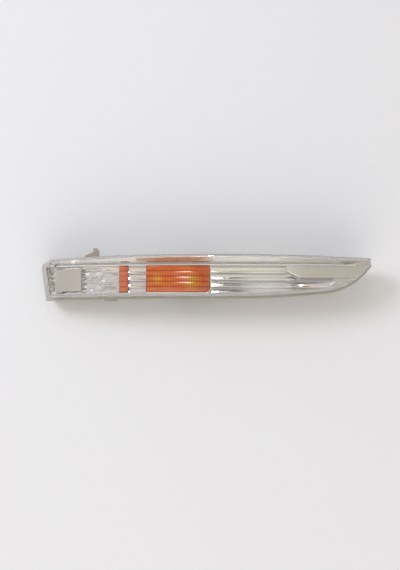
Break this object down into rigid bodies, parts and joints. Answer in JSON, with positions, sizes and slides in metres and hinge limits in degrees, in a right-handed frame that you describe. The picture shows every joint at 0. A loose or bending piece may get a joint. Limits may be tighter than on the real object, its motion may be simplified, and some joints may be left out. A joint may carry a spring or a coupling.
{
  "type": "turn signal lamp",
  "caption": "Slim wrap-round vehicle turn signal lamp with a clear lens, chrome fluted bezel, amber inner filter, reflex tile and a twist-in bulb socket on a plastic back.",
  "frame": {"origin": "midway between the two threaded inserts of the rear feet, on the plane the lamp is screwed to", "axes": "+X along the lamp towards the pointed tip, +Y across it towards the hook, +Z out through the lens"},
  "size_m": [0.332, 0.0542, 0.066],
  "materials": {
    "clear_lens": "polished clear polycarbonate",
    "seal_bead": "cured grey adhesive",
    "bright_bezel": "bright metallised",
    "amber_plastic": "clear amber moulding",
    "reflex_plastic": "fine prismatic clear moulding",
    "bright_bowl": "bright metallised",
    "housing_plastic": "fine moulded grain",
    "insert_brass": "knurled, plain",
    "screw_steel": "zinc plated",
    "vent_rubber": "matt",
    "membrane_fabric": "fine felt",
    "bulb_glass": "clear blown glass",
    "filament_metal": "drawn wire",
    "wire_metal": "drawn wire",
    "socket_plastic": "fine moulded grain",
    "gasket_rubber": "matt",
    "contact_brass": "tinned sheet"
  },
  "bodies": {
    "root": {"outer_lens": "clear_lens", "lens_seal": "seal_bead", "chrome_bezel": "bright_bezel", "amber_filter": "amber_plastic", "reflex_tile": "reflex_plastic", "bulb_reflector": "bright_bowl", "rear_housing": "housing_plastic", "threaded_inserts": "insert_brass", "bezel_screws": "screw_steel", "vent_cap": "vent_rubber", "vent_membrane": "membrane_fabric", "bulb_glass": "bulb_glass", "bulb_filament": "filament_metal", "bulb_lead_wires": "wire_metal", "bulb_socket": "socket_plastic", "socket_gasket": "gasket_rubber", "live_contact": "contact_brass", "ground_contact": "contact_brass"}
  },
  "joints": []
}
